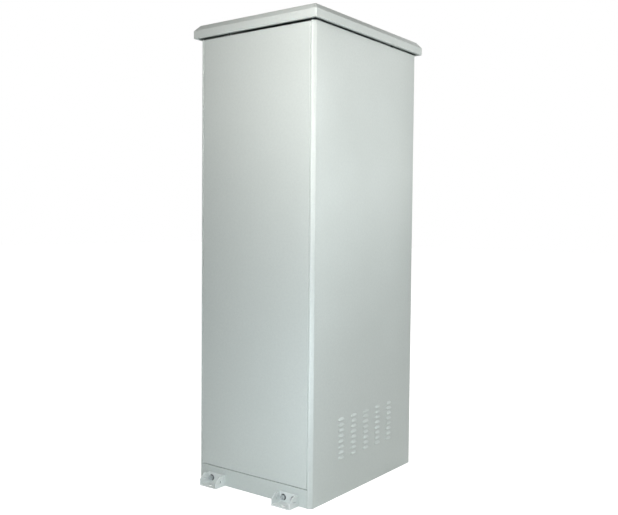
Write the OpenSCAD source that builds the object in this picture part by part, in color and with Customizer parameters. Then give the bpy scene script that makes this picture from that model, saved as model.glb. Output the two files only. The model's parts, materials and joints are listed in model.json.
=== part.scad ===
// Free-standing outdoor cabinet: folded sheet body on a plinth, overhanging roof hood,
// hinged front door with a rod lock, fixed rear panel, side louvres and rack rails.
// The body stands on z = 0, centred on x = 0 and y = 0. The door faces +Y.

/* [Body] */
// Width of the body over its side walls
body_w = 600; // [520:1:900]
// Depth of the body from the rear panel's face to the door's face
body_d = 780; // [600:1:1000]
// Height of the body without its roof hood
body_h = 1873; // [1400:1:2200]
// Thickness of the body's folded sheet
sheet_t = 2; // [1.5:0.1:3]
// Height of the plinth rails below the door and the rear panel
plinth_h = 73; // [60:1:120]
// Leg of the chamfer on the upright corners
corner_leg = 13; // [6:1:16]
// Width of the flat strip between the chamfer and the door or panel
corner_strip = 7; // [5:1:20]
// Depth of the jamb that the door and the rear panel sit in
jamb_depth = 24; // [22:1:32]
// Width of the flange that the gaskets press on
landing_w = 28; // [26:1:34]
// Height of the flange that the gaskets press on, above the plinth
sill_h = 22; // [20:1:30]

/* [Door and rear panel] */
// Depth of the folded tray of the door and of the rear panel
tray_depth = 20; // [16:1:21]
// Width of the lip folded in around each tray
tray_lip = 30; // [29:1:36]
// Gap around the rear panel and on three sides of the door
edge_gap = 1.5; // [1:0.1:3]
// Gap on the door's hinge side
hinge_gap = 4; // [4:0.1:6]
// Width of the rubber gasket
gasket_w = 12; // [8:1:12]

/* [Roof hood] */
// Overhang of the roof hood past the body on every side
hood_overhang = 20; // [15:1:40]
// Air gap between the top of the body and the hood's underside
hood_gap = 4.5; // [4:0.1:20]
// Height of the hood's upright edge
hood_edge_h = 32.7; // [25:0.1:50]
// Width of the hood's sloping bevel, seen from above
hood_bevel_w = 20.6; // [10:0.1:40]
// Height of the hood's sloping bevel
hood_bevel_h = 23.7; // [10:0.1:40]
// Width of the flange folded in under the hood
hood_flange = 12; // [8:1:16]

/* [Louvres] */
// Number of louvre columns on each side wall
louvre_cols = 5; // [1:1:5]
// Number of louvres in each column
louvre_rows = 8; // [1:1:8]
// Length of one louvre
louvre_l = 45; // [30:1:60]
// Height of one louvre
louvre_h = 11; // [8:0.5:14]
// How far a louvre is pressed out of the wall
louvre_out = 5; // [4:0.5:7]
// Distance between the centres of two columns
louvre_pitch_y = 93; // [70:1:100]
// Distance between the centres of two louvres in a column
louvre_pitch_z = 22.5; // [18:0.5:24]
// Height of the lowest louvre's centre above the floor
louvre_z = 158.5; // [155:0.5:200]

/* [Anchor brackets] */
// Width of one anchor bracket
bracket_w = 92; // [86:1:130]
// How far a bracket stands out from the plinth
bracket_out = 57; // [50:1:90]
// Height of a bracket
bracket_h = 46; // [44:1:60]
// Thickness of the bracket's plate
bracket_t = 4; // [3:0.5:5]
// Distance between the centres of two brackets on one plinth rail
bracket_pitch = 388; // [300:1:400]
// Distance of the ground anchor's hole from the plinth's face
anchor_out = 38; // [34:1:44]
// Width of the ground anchor's slot
anchor_d = 14; // [10:1:18]
// Length of the ground anchor's slot
anchor_slot_l = 22; // [20:1:40]
// Distance between a bracket's two bolts
bracket_bolt_pitch = 50; // [46:1:56]
// Height of the bracket's bolts above the floor
bracket_bolt_z = 24; // [22:1:26]
// Diameter of the bracket's bolts
bracket_bolt_d = 12; // [8:1:12]

/* [Rack] */
// Distance between the hole columns of the left and right rails
rack_hole_pitch = 465.1; // [465.1]
// Diameter of a rack rail's holes
rack_hole_d = 7.1; // [6:0.1:7.1]
// Distance from the door's or the rear panel's face to the rack rails' mounting faces
rack_setback = 90; // [80:1:200]
// Depth of the channels that carry the rack rails
depth_rail_w = 48; // [42:1:60]

/* [Cables and earth] */
// Number of cable glands
gland_count = 4; // [1:1:4]
// Diameter of the cable passage in a gland
gland_bore_d = 18; // [10:1:22]
// Thread diameter of a gland
gland_thread_d = 32; // [28:1:34]
// Distance between the glands
gland_pitch = 70; // [60:1:72]
// Length of the earth bar
earth_bar_l = 200; // [140:1:260]

/* [Fan] */
// Side of the square exhaust fan
fan_size = 160; // [120:1:172]
// Depth of the exhaust fan
fan_depth = 50; // [45:1:60]

/* [Lock] */
// Distance of the lock's spindle from the door's free edge
lock_inset = 63.5; // [60:0.5:90]
// Height of the lock's spindle above the floor
lock_z = 1000; // [700:1:1200]
// Length of the swing handle below its pivot
handle_l = 150; // [110:1:180]
// Width of the swing handle
handle_w = 26; // [24:1:34]
// Thickness of the swing handle
handle_t = 14; // [12:1:18]
// Radius at which the cam's studs drive the rods
cam_r = 18; // [14:1:18]
// Diameter of the locking rods
rod_d = 10; // [8:1:10]

/* [Hidden] */
$fn = 48;
paint = [0.74, 0.77, 0.77];
zinc = [0.68, 0.70, 0.70];
rubber = [0.10, 0.10, 0.10];
black_plastic = [0.13, 0.13, 0.14];
copper = [0.72, 0.45, 0.25];
red_resin = [0.6, 0.12, 0.1];

cut = 1;                          // how far a cutting solid runs past a face
run_gap = 0.06;                   // radial clearance of a shaft in its bearing
seat_gap = 0.3;                   // gap between a moving flat face and its seat
thread_gap = 0.05;                // radial clearance of a screw in its thread
hole_gap = 0.5;                   // radial clearance of a screw in its hole
hex_m5 = 8;
hex_m6 = 10;
hex_m8 = 13;
hex_m12 = 19;
half_w = body_w / 2;
half_d = body_d / 2;
opening_x = half_w - corner_leg - corner_strip;
landing_y = half_d - jamb_depth;
landing_in_y = landing_y - sheet_t;
landing_x = opening_x - landing_w;
sill_z = plinth_h + sill_h;
head_z = body_h - sill_h - edge_gap;
inner_x = half_w - sheet_t;
tray_z0 = plinth_h + edge_gap;
tray_z1 = body_h - edge_gap;
tray_back_y = half_d - tray_depth;

// ---- folded sheet ----
function unit(v) = v / norm(v);
function left_of(a, b) = [-unit(b - a)[1], unit(b - a)[0]];
function mitre(a, b, c, t) = b + (left_of(a, b) + left_of(b, c)) * t / (1 + left_of(a, b) * left_of(b, c));
function last(p) = len(p) - 1;
function inner_line(p, t) = [for (i = [0 : last(p)])
    i == 0 ? p[0] + left_of(p[0], p[1]) * t
    : i == last(p) ? p[i] + left_of(p[i - 1], p[i]) * t
    : mitre(p[i - 1], p[i], p[i + 1], t)];
function backwards(p) = [for (i = [last(p) : -1 : 0]) p[i]];

// The section of a folded sheet: its outer line, and its inner line on the left of it.
module sheet_section(line, t) polygon(concat(line, backwards(inner_line(line, t))));

// A section drawn as (y, z) and run along X, or drawn as (x, z) and run along Y.
module along_x(length) rotate([90, 0, 90]) translate([0, 0, -length / 2]) linear_extrude(length) children();
module along_y(length) rotate([90, 0, 0]) translate([0, 0, -length / 2]) linear_extrude(length) children();
module box(low, high) translate(low) cube(high - low);
module both_sides() { children(); mirror([1, 0, 0]) children(); }
module both_ends() { children(); mirror([0, 1, 0]) children(); }
module bore_x(r, length) rotate([0, 90, 0]) cylinder(h = length, r = r, center = true);
module bore_y(r, length) rotate([90, 0, 0]) cylinder(h = length, r = r, center = true);
module hexagon(across, h) cylinder(h = h, d = across / cos(30), $fn = 6);

// ---- side walls ----
louvre_y = [for (i = [0 : louvre_cols - 1]) (i - (louvre_cols - 1) / 2) * louvre_pitch_y];
louvre_zs = [for (i = [0 : louvre_rows - 1]) louvre_z + i * louvre_pitch_z];
louvre_t = 1.5;                   // the sheet thins where it is pressed out
louvre_slope = sqrt(1 + pow(louvre_out / louvre_h, 2));
louvre_in = louvre_out - louvre_t * louvre_slope;
louvre_in_h = louvre_h * louvre_in / louvre_out;
louvre_root = 0.5;                // how far the pressed form starts inside the wall
louvre_mouth = 0.4;               // how far the hollow is cut through the louvre's lower edge
slit_half = louvre_l / 2 - louvre_out;

// A pressed hood, open below, that stands out along +X from the plane x = 0.
module louvre_form(out, high, length) {
    straight = length - 2 * out;
    along_y(straight) polygon([[0, 0], [out, 0], [0, high]]);
    for (s = [0, 1])
        mirror([0, s, 0])
            translate([0, straight / 2, 0])
                rotate_extrude(angle = 90)
                    polygon([[0, 0], [out, 0], [0, high]]);
}

module at_louvres() {
    for (y = louvre_y, z = louvre_zs)
        translate([half_w, y, z - louvre_h / 2]) children();
}

panel_screw_inset = 6;            // from the landing's inner edge to the panel's screws
panel_screw_x = landing_x + panel_screw_inset;
panel_screw_d = 5;
panel_screw_count = 4;
panel_screw_end = 130;            // from the ends of the opening to the outer screws
panel_screw_zs = [for (i = [0 : panel_screw_count - 1])
    sill_z + panel_screw_end + i * (head_z - sill_z - 2 * panel_screw_end) / (panel_screw_count - 1)];

module side_panel() {
    corner_x = half_w - corner_leg;
    half = [[landing_x, -landing_y], [opening_x, -landing_y], [opening_x, -half_d],
        [corner_x, -half_d], [half_w, -half_d + corner_leg]];
    line = concat(half, [for (p = backwards(half)) [p[0], -p[1]]]);
    difference() {
        union() {
            linear_extrude(body_h) sheet_section(line, sheet_t);
            at_louvres()
                translate([-louvre_root, 0, 0]) louvre_form(louvre_out + louvre_root, louvre_h, louvre_l);
        }
        at_louvres() {
            translate([0, 0, -louvre_mouth])
                louvre_form(louvre_in, louvre_in_h, louvre_l - 2 * louvre_t);
            box([-sheet_t - cut, -slit_half, 0], [louvre_root / 2, slit_half, louvre_in_h]);
        }
        for (z = panel_screw_zs)
            translate([panel_screw_x, -landing_y, z]) bore_y(panel_screw_d / 2 + hole_gap, 4 * sheet_t);
    }
}
module right_side_panel() { color(paint) side_panel(); }
module left_side_panel() { color(paint) mirror([1, 0, 0]) side_panel(); }

// ---- plinth, base and top ----
module at_brackets() {
    for (x = [-0.5, 0.5]) translate([x * bracket_pitch, -half_d, 0]) children();
}
module at_bracket_bolts() {
    at_brackets()
        for (x = [-0.5, 0.5]) translate([x * bracket_bolt_pitch, 0, bracket_bolt_z]) children();
}

module plinth() {
    line = [[-landing_y, sill_z], [-landing_y, plinth_h], [-half_d, plinth_h], [-half_d, 0], [-landing_y, 0]];
    difference() {
        along_x(2 * opening_x) sheet_section(line, sheet_t);
        both_sides() box([landing_x, -landing_y, -cut], [opening_x + cut, 0, sill_z + cut]);
        at_bracket_bolts() bore_y(bracket_bolt_d / 2 + hole_gap, 3 * sheet_t);
    }
}
module rear_plinth() { color(paint) plinth(); }
module front_plinth() { color(paint) mirror([0, 1, 0]) plinth(); }

base_flange = 20;
gland_inset = 214;                // from the rear landing to the middle of the glands
gland_y = gland_inset - landing_in_y;
gland_cutout = [260, 80];
module base_plate() {
    line = [[inner_x, plinth_h - base_flange], [inner_x, plinth_h], [-inner_x, plinth_h],
        [-inner_x, plinth_h - base_flange]];
    color(zinc) difference() {
        along_y(2 * landing_in_y) sheet_section(line, sheet_t);
        translate([0, gland_y, plinth_h])
            cube([gland_cutout[0], gland_cutout[1], 4 * sheet_t], center = true);
    }
}

fan_wall = 4;
fan_r = fan_size / 2 - fan_wall;
post_r = 10;
post_inset = [22, 64];            // from the landings to the roof posts, along X and Y
post_x = landing_x - post_inset[0];
post_y = landing_in_y - post_inset[1];
roof_bolt_d = 8;
module at_roof_posts() { both_sides() both_ends() translate([post_x, post_y, body_h]) children(); }
module top_plate() {
    line = [[landing_y, head_z], [landing_y, body_h], [-landing_y, body_h], [-landing_y, head_z]];
    color(zinc) difference() {
        union() {
            along_x(2 * landing_x) sheet_section(line, sheet_t);
            box([-inner_x, -landing_in_y, body_h - sheet_t], [inner_x, landing_in_y, body_h]);
        }
        translate([0, 0, body_h]) cylinder(h = 4 * sheet_t, r = fan_r, center = true);
        at_roof_posts() cylinder(h = 4 * sheet_t, r = roof_bolt_d / 2 + hole_gap, center = true);
    }
}

// ---- door and rear panel trays, facing +Y ----
module tray(x0, x1) {
    low = [x0, tray_back_y, tray_z0];
    high = [x1, half_d, tray_z1];
    wall = [sheet_t, sheet_t, sheet_t];
    difference() {
        box(low, high);
        box(low + wall, high - wall);
        box(low + [tray_lip, -cut, tray_lip], high - [tray_lip, sheet_t, tray_lip]);
    }
}
gasket_inset_x = 10;              // from the landing's inner edge to the gasket
gasket_inset_z = 7;               // from the plinth or the body's top to the gasket
gasket_x = landing_x + gasket_inset_x;
gasket_z0 = plinth_h + gasket_inset_z;
gasket_z1 = body_h - gasket_inset_z;
module gasket(thickness) {
    difference() {
        box([-gasket_x - gasket_w, tray_back_y - thickness, gasket_z0],
            [gasket_x + gasket_w, tray_back_y, gasket_z1]);
        box([-gasket_x, tray_back_y - thickness - cut, gasket_z0 + gasket_w],
            [gasket_x, tray_back_y + cut, gasket_z1 - gasket_w]);
    }
}

module at_panel_screws() {
    both_sides() for (z = panel_screw_zs) translate([panel_screw_x, -landing_in_y, z]) children();
}
module rear_panel() {
    color(paint) difference() {
        mirror([0, 1, 0]) tray(-opening_x + edge_gap, opening_x - edge_gap);
        at_panel_screws() translate([0, -jamb_depth / 2, 0])
            bore_y(panel_screw_d / 2 + thread_gap, jamb_depth - 2 * sheet_t);
    }
}
gasket_t = jamb_depth - tray_depth;
module rear_panel_gasket() { color(rubber) mirror([0, 1, 0]) gasket(gasket_t); }

screw_proud = 1;                  // how far a screw's end shows past its nut
panel_nut_h = 4;
panel_nut_y = sheet_t + gasket_t + sheet_t;   // from the landing's inner face to the nut's face
module rear_panel_screws() {
    head_h = 3.5;
    color(zinc) at_panel_screws() {
        rotate([-90, 0, 0]) cylinder(h = head_h, d = 2 * panel_screw_d);
        rotate([90, 0, 0]) cylinder(h = panel_nut_y + panel_nut_h + screw_proud, d = panel_screw_d);
    }
}
module rear_panel_nuts() {
    color(zinc) at_panel_screws()
        translate([0, -panel_nut_y, 0]) rotate([90, 0, 0]) difference() {
            hexagon(hex_m5, panel_nut_h);
            translate([0, 0, -cut]) cylinder(h = panel_nut_h + 2 * cut, r = panel_screw_d / 2 + thread_gap);
        }
}

// ---- roof hood ----
hood_z = body_h + hood_gap;
hood_top = hood_z + hood_edge_h + hood_bevel_h;
function hood_line(half) = [[half, hood_z], [half, hood_z + hood_edge_h], [half - hood_bevel_w, hood_top],
    [-half + hood_bevel_w, hood_top], [-half, hood_z + hood_edge_h], [-half, hood_z]];
hood_x = half_w + hood_overhang;
hood_y = half_d + hood_overhang;
module roof_hood() {
    color(paint) difference() {
        intersection() {
            along_y(2 * hood_y) polygon(hood_line(hood_x));
            along_x(2 * hood_x) polygon(hood_line(hood_y));
        }
        intersection() {
            along_y(2 * hood_y) polygon(inner_line(hood_line(hood_x), sheet_t));
            along_x(2 * hood_x) polygon(inner_line(hood_line(hood_y), sheet_t));
            box([-hood_x, -hood_y, hood_z + sheet_t], [hood_x, hood_y, hood_top]);
        }
        box([-hood_x + hood_flange, -hood_y + hood_flange, hood_z - cut],
            [hood_x - hood_flange, hood_y - hood_flange, hood_z + 2 * sheet_t]);
    }
}
post_h = hood_top - sheet_t - body_h;
roof_thread_l = 25;
module roof_posts() {
    color(zinc) at_roof_posts() difference() {
        cylinder(h = post_h, r = post_r);
        translate([0, 0, -cut]) cylinder(h = roof_thread_l + 2 * cut, r = roof_bolt_d / 2 + thread_gap);
    }
}
module roof_bolts() {
    head_h = 5.5;
    color(zinc) at_roof_posts() translate([0, 0, -sheet_t]) {
        translate([0, 0, -head_h]) hexagon(hex_m8, head_h);
        cylinder(h = roof_thread_l, d = roof_bolt_d);
    }
}

// ---- anchor brackets ----
gusset_flat = 24;                 // how far the gusset keeps its full height
gusset_toe_h = 25;
gusset_hole_d = 8;
module bracket() {
    difference() {
        union() {
            box([-bracket_w / 2, -bracket_out, 0], [bracket_w / 2, 0, bracket_t]);
            box([-bracket_w / 2, -bracket_t, 0], [bracket_w / 2, 0, bracket_h]);
            for (x = [-1, 1])
                translate([x * (bracket_w - bracket_t) / 2, 0, 0]) along_x(bracket_t)
                    polygon([[0, 0], [0, bracket_h], [-bracket_out + gusset_flat, bracket_h],
                        [-bracket_out, gusset_toe_h], [-bracket_out, 0]]);
        }
        translate([0, -anchor_out, 0]) {
            for (x = [-0.5, 0.5])
                translate([x * (anchor_slot_l - anchor_d), 0, 0])
                    cylinder(h = 3 * bracket_t, d = anchor_d, center = true);
            cube([anchor_slot_l - anchor_d, anchor_d, 3 * bracket_t], center = true);
        }
        translate([0, -bracket_out / 2, bracket_bolt_z]) bore_x(gusset_hole_d / 2, bracket_w + cut);
        for (x = [-0.5, 0.5])
            translate([x * bracket_bolt_pitch, 0, bracket_bolt_z])
                bore_y(bracket_bolt_d / 2 + hole_gap, 3 * bracket_t);
    }
}
module placed_bracket(side) { translate([side * bracket_pitch / 2, -half_d, 0]) bracket(); }
module rear_left_bracket() { color(paint) placed_bracket(-1); }
module rear_right_bracket() { color(paint) placed_bracket(1); }
module front_left_bracket() { color(paint) mirror([0, 1, 0]) placed_bracket(-1); }
module front_right_bracket() { color(paint) mirror([0, 1, 0]) placed_bracket(1); }

washer_h = 2.5;
bolt_head_h = 7.5;
bolt_nut_h = 10;
bolt_proud = 3;                   // how far a bolt's end shows past its nut
bracket_washer_d = 26;
module bracket_bolts() {
    head_y = -bracket_t - washer_h;
    color(zinc) both_ends() at_bracket_bolts() translate([0, head_y, 0]) {
        rotate([90, 0, 0]) hexagon(hex_m12, bolt_head_h);
        rotate([-90, 0, 0]) cylinder(h = sheet_t + bolt_nut_h + bolt_proud - head_y, d = bracket_bolt_d);
    }
}
module bracket_washers() {
    color(zinc) both_ends() at_bracket_bolts() translate([0, -bracket_t, 0]) rotate([90, 0, 0]) difference() {
        cylinder(h = washer_h, d = bracket_washer_d);
        translate([0, 0, -cut]) cylinder(h = washer_h + 2 * cut, r = bracket_bolt_d / 2 + hole_gap);
    }
}
module bracket_nuts() {
    color(zinc) both_ends() at_bracket_bolts() translate([0, sheet_t, 0]) rotate([-90, 0, 0]) difference() {
        hexagon(hex_m12, bolt_nut_h);
        translate([0, 0, -cut]) cylinder(h = bolt_nut_h + 2 * cut, r = bracket_bolt_d / 2 + thread_gap);
    }
}

// ---- rack rails and the channels that carry them ----
rack_unit = 44.45;
rack_holes = [6.35, 22.225, 38.1];
rack_rail_t = 2;
rack_edge = 7.15;                 // from a hole's centre to the rail's inner edge
rack_side = 40;                   // depth of the rail's side flange
rail_x = inner_x - depth_rail_w;
depth_rail_h = 40;
lower_rail_z = plinth_h + 42;
upper_rail_z = body_h - 93;
rack_foot = 25;                   // how far a rack rail runs past the middle of the lower depth rail
rack_head = 45;                   // and past the middle of the upper one
rack_z0 = lower_rail_z - rack_foot;
rack_z1 = upper_rail_z + rack_head;
rack_face_y = half_d - rack_setback;
rack_end = 60;                    // least distance from the first unit to the rail's end
rack_units = floor((rack_z1 - rack_z0 - 2 * rack_end) / rack_unit);
rack_first = (rack_z0 + rack_z1 - rack_units * rack_unit) / 2;
rail_bolt_d = 8;
rail_bolt_y = rack_face_y - rack_side / 2;

module rack_rail() {
    line = [[rail_x, rack_face_y - rack_side], [rail_x, rack_face_y],
        [rack_hole_pitch / 2 - rack_edge, rack_face_y]];
    difference() {
        translate([0, 0, rack_z0]) linear_extrude(rack_z1 - rack_z0) sheet_section(line, rack_rail_t);
        for (u = [0 : rack_units - 1], h = rack_holes)
            translate([rack_hole_pitch / 2, rack_face_y, rack_first + u * rack_unit + h])
                bore_y(rack_hole_d / 2, 4 * rack_rail_t);
        for (z = [lower_rail_z, upper_rail_z])
            translate([rail_x, rail_bolt_y, z]) bore_x(rail_bolt_d / 2 + hole_gap, 4 * rack_rail_t);
    }
}
module front_right_rack_rail() { color(zinc) rack_rail(); }
module front_left_rack_rail() { color(zinc) mirror([1, 0, 0]) rack_rail(); }
module rear_right_rack_rail() { color(zinc) mirror([0, 1, 0]) rack_rail(); }
module rear_left_rack_rail() { color(zinc) mirror([1, 0, 0]) mirror([0, 1, 0]) rack_rail(); }

depth_rail_end = 24;              // from the landing's inner face to the channel's end
module depth_rail(z) {
    top = z + depth_rail_h / 2;
    foot = z - depth_rail_h / 2;
    line = [[inner_x, top], [rail_x, top], [rail_x, foot], [inner_x, foot]];
    difference() {
        along_y(2 * (landing_in_y - depth_rail_end)) sheet_section(line, sheet_t);
        both_ends() translate([rail_x, rail_bolt_y, z]) bore_x(rail_bolt_d / 2 + thread_gap, 4 * sheet_t);
    }
}
module upper_right_depth_rail() { color(zinc) depth_rail(upper_rail_z); }
module upper_left_depth_rail() { color(zinc) mirror([1, 0, 0]) depth_rail(upper_rail_z); }
module lower_right_depth_rail() { color(zinc) depth_rail(lower_rail_z); }
module lower_left_depth_rail() { color(zinc) mirror([1, 0, 0]) depth_rail(lower_rail_z); }

rail_bolt_l = 14;
module rail_bolts() {
    head_h = 5.5;
    color(zinc) both_sides() both_ends() for (z = [lower_rail_z, upper_rail_z])
        translate([rail_x - rack_rail_t, rail_bolt_y, z]) {
            rotate([0, -90, 0]) hexagon(hex_m8, head_h);
            rotate([0, 90, 0]) cylinder(h = rail_bolt_l, d = rail_bolt_d);
        }
}

// ---- gland plate, glands and earth bar ----
gland_plate_size = [300, 120, 3];
gland_xs = [for (i = [0 : gland_count - 1]) (i - (gland_count - 1) / 2) * gland_pitch];
gland_hex = 41;
gland_gap = 0.25;                 // radial clearance of a gland in its plate
gland_top = plinth_h + gland_plate_size[2];
module at_glands() { for (x = gland_xs) translate([x, gland_y, 0]) children(); }
module gland_plate() {
    color(zinc) difference() {
        translate([0, gland_y, plinth_h + gland_plate_size[2] / 2]) cube(gland_plate_size, center = true);
        at_glands() translate([0, 0, plinth_h])
            cylinder(h = 4 * gland_plate_size[2], r = gland_thread_d / 2 + gland_gap, center = true);
    }
}
gland_thread_l = 14;
gland_hex_h = 10;
gland_dome_h = 22;
gland_rim = 3;                    // width of the rim around the cable at the dome's top
module cable_glands() {
    foot = gland_top - gland_thread_l;
    shoulder = gland_top + gland_hex_h;
    color(black_plastic) at_glands() difference() {
        union() {
            translate([0, 0, foot]) cylinder(h = gland_thread_l + cut, d = gland_thread_d);
            translate([0, 0, gland_top]) hexagon(gland_hex, gland_hex_h);
            translate([0, 0, shoulder])
                cylinder(h = gland_dome_h, r1 = gland_hex / 2 - 1, r2 = gland_bore_d / 2 + gland_rim);
        }
        translate([0, 0, foot - cut])
            cylinder(h = shoulder + gland_dome_h - foot + 2 * cut, d = gland_bore_d);
    }
}
module gland_locknuts() {
    nut_h = 7;
    color(black_plastic) at_glands() translate([0, 0, plinth_h - nut_h]) difference() {
        hexagon(gland_hex, nut_h);
        translate([0, 0, -cut]) cylinder(h = nut_h + 2 * cut, r = gland_thread_d / 2 + thread_gap);
    }
}

earth_inset = 114;                // from the rear landing to the earth bar
earth_y = earth_inset - landing_in_y;
earth_bar_w = 25;
earth_bar_t = 5;
earth_post_h = 35;
earth_post_r = 9;
earth_screw_d = 6;
earth_head_h = 4;
earth_screw_end = 8;              // how far a screw runs below the bar
earth_thread_l = 12;
earth_screw_count = 6;
earth_z = plinth_h + earth_post_h;
earth_pitch = (earth_bar_l - earth_bar_w) / (earth_screw_count - 1);
module at_earth_holes(which) {
    for (i = which) translate([(i - (earth_screw_count - 1) / 2) * earth_pitch, earth_y, earth_z]) children();
}
module earth_bar() {
    color(copper) difference() {
        translate([-earth_bar_l / 2, earth_y - earth_bar_w / 2, earth_z])
            cube([earth_bar_l, earth_bar_w, earth_bar_t]);
        at_earth_holes([0 : earth_screw_count - 1])
            cylinder(h = 4 * earth_bar_t, r = earth_screw_d / 2 + thread_gap, center = true);
    }
}
module earth_bar_posts() {
    color(red_resin) at_earth_holes([0, earth_screw_count - 1]) difference() {
        translate([0, 0, -earth_post_h]) cylinder(h = earth_post_h, r = earth_post_r);
        translate([0, 0, -earth_thread_l])
            cylinder(h = earth_thread_l + cut, r = earth_screw_d / 2 + thread_gap);
    }
}
module earth_bar_screws() {
    color(zinc) at_earth_holes([0 : earth_screw_count - 1]) {
        translate([0, 0, earth_bar_t]) hexagon(hex_m6, earth_head_h);
        translate([0, 0, -earth_screw_end])
            cylinder(h = earth_screw_end + earth_bar_t + cut, d = earth_screw_d);
    }
}

// ---- intake filters behind the louvres ----
filter_margin = 20;
filter_depth = 20;
filter_wall = 1.5;
filter_lip = 14;
filter_gap = 2;                   // between a filter frame and the depth rail below it
filter_y = louvre_y[louvre_cols - 1] + louvre_l / 2 + filter_margin;
filter_z0 = lower_rail_z + depth_rail_h / 2 + filter_gap;
filter_z1 = louvre_zs[louvre_rows - 1] + louvre_h / 2 + filter_margin;
mat_gap = 0.3;
module filter_frame() {
    difference() {
        box([inner_x - filter_depth, -filter_y, filter_z0], [inner_x, filter_y, filter_z1]);
        box([inner_x - filter_depth + filter_wall, -filter_y + filter_wall, filter_z0 + filter_wall],
            [inner_x + cut, filter_y - filter_wall, filter_z1 - filter_wall]);
        box([inner_x - filter_depth - cut, -filter_y + filter_lip, filter_z0 + filter_lip],
            [inner_x, filter_y - filter_lip, filter_z1 - filter_lip]);
    }
}
module filter_mat() {
    side = filter_wall + mat_gap;
    box([inner_x - filter_depth + filter_wall, -filter_y + side, filter_z0 + side],
        [inner_x - mat_gap, filter_y - side, filter_z1 - side]);
}
module right_filter_frame() { color(zinc) filter_frame(); }
module left_filter_frame() { color(zinc) mirror([1, 0, 0]) filter_frame(); }
module right_filter_mat() { color("whitesmoke") filter_mat(); }
module left_filter_mat() { color("whitesmoke") mirror([1, 0, 0]) filter_mat(); }

// ---- exhaust fan under the top plate ----
fan_top = body_h - sheet_t;
fan_boss_h = 12;
fan_boss_r = 28;
fan_arm_w = 8;
fan_arm_h = 6;
fan_shaft_r = 4;
fan_bore_l = 10;
rotor_hub_r = 30;
rotor_tip_gap = 2;
rotor_lift = 2;                   // gap between the boss and the rotor
rotor_h = fan_depth - fan_boss_h - 4 * rotor_lift;
fan_shaft_l = fan_bore_l - 1 + rotor_lift;
rotor_blades = 7;
rotor_blade_t = 2;
rotor_pitch = 35;
module fan_frame() {
    color(black_plastic) translate([0, 0, fan_top - fan_depth]) difference() {
        union() {
            difference() {
                translate([-fan_size / 2, -fan_size / 2, 0]) cube([fan_size, fan_size, fan_depth]);
                translate([0, 0, -cut]) cylinder(h = fan_depth + 2 * cut, r = fan_r);
            }
            cylinder(h = fan_boss_h, r = fan_boss_r);
            for (a = [0, 90])
                rotate([0, 0, 45 + a])
                    translate([-fan_r - cut, -fan_arm_w / 2, 0])
                        cube([2 * (fan_r + cut), fan_arm_w, fan_arm_h]);
        }
        translate([0, 0, fan_boss_h - fan_bore_l]) cylinder(h = fan_depth, r = fan_shaft_r + run_gap);
    }
}
module fan_rotor() {
    floor_z = fan_top - fan_depth + fan_boss_h + rotor_lift;
    color(black_plastic) translate([0, 0, floor_z]) {
        cylinder(h = rotor_h, r = rotor_hub_r);
        translate([0, 0, -fan_shaft_l]) cylinder(h = fan_shaft_l + cut, r = fan_shaft_r);
        intersection() {
            cylinder(h = rotor_h, r = fan_r - rotor_tip_gap);
            for (i = [0 : rotor_blades - 1])
                rotate([0, 0, i * 360 / rotor_blades])
                    translate([fan_r / 2, 0, rotor_h / 2]) rotate([90 - rotor_pitch, 0, 0])
                        cube([fan_r, rotor_blade_t, 2 * rotor_h], center = true);
        }
    }
}
guard_wire = 3;
guard_rings = 5;
guard_seat = 2;                   // how far the guard rests on the top plate
module fan_guard() {
    outer = fan_r + guard_seat;
    step = outer / guard_rings;
    color(zinc) translate([0, 0, body_h]) {
        for (i = [1 : guard_rings])
            difference() {
                cylinder(h = guard_wire, r = i * step);
                translate([0, 0, -cut]) cylinder(h = guard_wire + 2 * cut, r = i * step - guard_wire);
            }
        for (a = [0, 90])
            rotate([0, 0, a]) translate([-outer + cut, -guard_wire / 2, 0])
                cube([2 * (outer - cut), guard_wire, guard_wire]);
    }
}

// ---- door ----
door_x0 = -opening_x + hinge_gap;
door_x1 = opening_x - edge_gap;
door_skin_y = half_d - sheet_t;
lock_x = door_x1 - lock_inset;
spindle_r = 6;
spindle_hole_r = 8;
module front_door() {
    color(paint) difference() {
        tray(door_x0, door_x1);
        translate([lock_x, half_d, lock_z]) bore_y(spindle_hole_r, 4 * sheet_t);
    }
}
module door_gasket() { color(rubber) gasket(gasket_t - seat_gap); }

stiffener_w = 50;
stiffener_depth = 14;
stiffener_foot = 15;
stiffener_t = 1.5;
stiffener_xs = [-110, 60];
stiffener_end = 60;               // from the door's top or bottom edge to a stiffener's end
module door_stiffeners() {
    seat = door_skin_y - stiffener_t;
    crest = door_skin_y - stiffener_depth;
    half = stiffener_w / 2;
    line = [[-half - stiffener_foot, seat], [-half, seat], [-half, crest], [half, crest], [half, seat],
        [half + stiffener_foot, seat]];
    color(zinc) for (x = stiffener_xs)
        translate([x, 0, tray_z0 + stiffener_end])
            linear_extrude(tray_z1 - tray_z0 - 2 * stiffener_end) sheet_section(line, stiffener_t);
}

// ---- hinges ----
knuckle_r = 6;
pin_r = 3;
knuckle_l = 25;
knuckle_gap = 0.5;
knuckle_out = 1;                  // from the door's face to the knuckles
leaf_t = 1.5;
press_gap = 0.01;                 // radial clearance of a pin that is pressed in
hinge_x = -opening_x + hinge_gap / 2;
hinge_y = half_d + knuckle_r + knuckle_out;
hinge_end = 150;                  // from the door's top or bottom edge to the outer hinges
hinge_zs = [tray_z0 + hinge_end, (tray_z0 + tray_z1) / 2, tray_z1 - hinge_end];
leaf_h = 3 * knuckle_l;
module at_hinges() { for (z = hinge_zs) translate([hinge_x, hinge_y, z]) children(); }
module knuckle(z0, bore_r) {
    translate([0, 0, z0]) difference() {
        cylinder(h = knuckle_l - knuckle_gap, r = knuckle_r);
        translate([0, 0, -cut]) cylinder(h = knuckle_l + 2 * cut, r = bore_r);
    }
}
leaf_foot_y = tray_back_y - hinge_y + sheet_t;
leaf_brim_y = half_d - hinge_y;
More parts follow.
